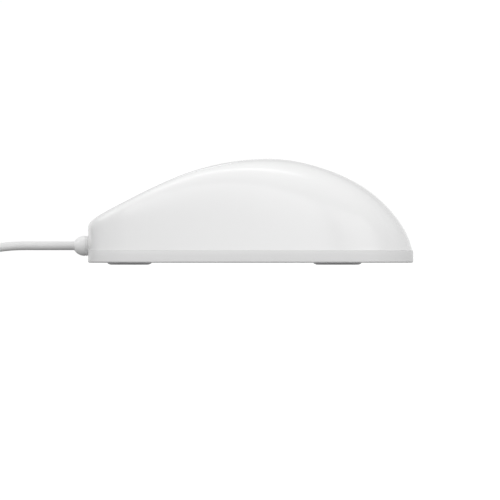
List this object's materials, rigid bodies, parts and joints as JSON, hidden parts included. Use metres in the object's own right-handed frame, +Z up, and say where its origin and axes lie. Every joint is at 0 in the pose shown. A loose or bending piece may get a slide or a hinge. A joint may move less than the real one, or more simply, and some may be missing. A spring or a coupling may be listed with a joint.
{
  "type": "computer mouse",
  "caption": "Low, domed wired computer mouse with split keys, scroll wheel, glide pads, and a coiled cable ending in a rectangular plug.",
  "frame": {"origin": "on the desk under the middle of the case, at the underside of the glide pads", "axes": "+Y towards the cable end, +X to the user's right, +Z up"},
  "size_m": [0.0724, 0.258, 0.0378],
  "materials": {
    "casing": "satin white moulded plastic",
    "base": "satin white moulded plastic, slightly duller",
    "cable": "white soft PVC",
    "glide_pad": "smooth grey low-friction plastic",
    "tyre_rubber": "soft grey rubber, ribbed",
    "inner_plastic": "natural moulded plastic",
    "dark_plastic": "black moulded plastic",
    "clear_plastic": "clear moulded plastic",
    "board_green": "green circuit board",
    "switch_red": "red plastic",
    "steel": "bright plated steel",
    "gold": "gold-plated contact",
    "wire_red": "red wire insulation",
    "wire_white": "white wire insulation",
    "wire_green": "green wire insulation",
    "wire_black": "black wire insulation"
  },
  "bodies": {
    "case": {"top_shell": "casing", "base_plate": "base", "label_plate": "base", "front_glide_pad": "glide_pad", "rear_glide_pad": "glide_pad", "case_screw_left": "steel", "case_screw_right": "steel", "case_screw_rear": "steel", "encoder_housing": "dark_plastic", "circuit_board": "board_green", "left_switch": "dark_plastic", "right_switch": "dark_plastic", "middle_switch": "dark_plastic", "sensor_chip": "dark_plastic", "sensor_lens": "clear_plastic", "sensor_lamp": "clear_plastic", "lamp_clip": "dark_plastic", "controller_chip": "dark_plastic", "timing_crystal": "steel", "capacitor_left": "dark_plastic", "capacitor_right": "dark_plastic", "board_screw_left": "steel", "board_screw_right": "steel", "cable_header": "inner_plastic", "wire_plug": "inner_plastic", "wire_red": "wire_red", "wire_white": "wire_white", "wire_green": "wire_green", "wire_black": "wire_black", "strain_relief": "cable", "cable_lead": "cable", "cable_coil": "cable", "cable_tail": "cable", "cable_tie": "dark_plastic", "plug_mould": "cable", "plug_shell": "steel", "plug_tongue": "inner_plastic", "plug_contact_1": "gold", "plug_contact_2": "gold", "plug_contact_3": "gold", "plug_contact_4": "gold"},
    "left_key": {"left_key": "casing"},
    "right_key": {"right_key": "casing"},
    "left_plunger": {"left_plunger": "switch_red"},
    "right_plunger": {"right_plunger": "switch_red"},
    "middle_plunger": {"middle_plunger": "switch_red"},
    "wheel_tilt": {"axle_bush": "inner_plastic"},
    "wheel": {"scroll_tyre": "tyre_rubber", "scroll_hub": "dark_plastic", "encoder_rotor": "inner_plastic"}
  },
  "joints": [
    {"name": "left_key_press", "type": "hinge", "parent": "case", "child": "left_key", "pos_m": [-0.0115, 0.0045, 0.034], "axis": [-1, 0, 0], "range_deg": [0, 0.8], "stiffness_Nm_per_rad": 1.2, "springref_deg": -1.72},
    {"name": "right_key_press", "type": "hinge", "parent": "case", "child": "right_key", "pos_m": [0.0115, 0.0045, 0.034], "axis": [-1, 0, 0], "range_deg": [0, 0.8], "stiffness_Nm_per_rad": 1.2, "springref_deg": -1.72},
    {"name": "left_plunger_slide", "type": "slide", "parent": "case", "child": "left_plunger", "axis": [0, 0, -1], "range_m": [0, 0.0006]},
    {"name": "right_plunger_slide", "type": "slide", "parent": "case", "child": "right_plunger", "axis": [0, 0, -1], "range_m": [0, 0.0006]},
    {"name": "wheel_click", "type": "hinge", "parent": "case", "child": "wheel_tilt", "pos_m": [0.01, 0.028, 0.0174], "axis": [0, -1, 0], "range_deg": [0, 1.3], "stiffness_Nm_per_rad": 1, "springref_deg": -1.72},
    {"name": "middle_plunger_slide", "type": "slide", "parent": "case", "child": "middle_plunger", "axis": [0, 0, -1], "range_m": [0, 0.0006]},
    {"name": "wheel_spin", "type": "hinge", "parent": "wheel_tilt", "child": "wheel", "pos_m": [0, 0.028, 0.0174], "axis": [1, 0, 0], "continuous": true}
  ],
  "couplings": [
    {"joint": "left_plunger_slide", "follows": "left_key_press", "m_per_rad": 0.0365},
    {"joint": "right_plunger_slide", "follows": "right_key_press", "m_per_rad": 0.0365},
    {"joint": "middle_plunger_slide", "follows": "wheel_click", "m_per_rad": 0.022}
  ]
}
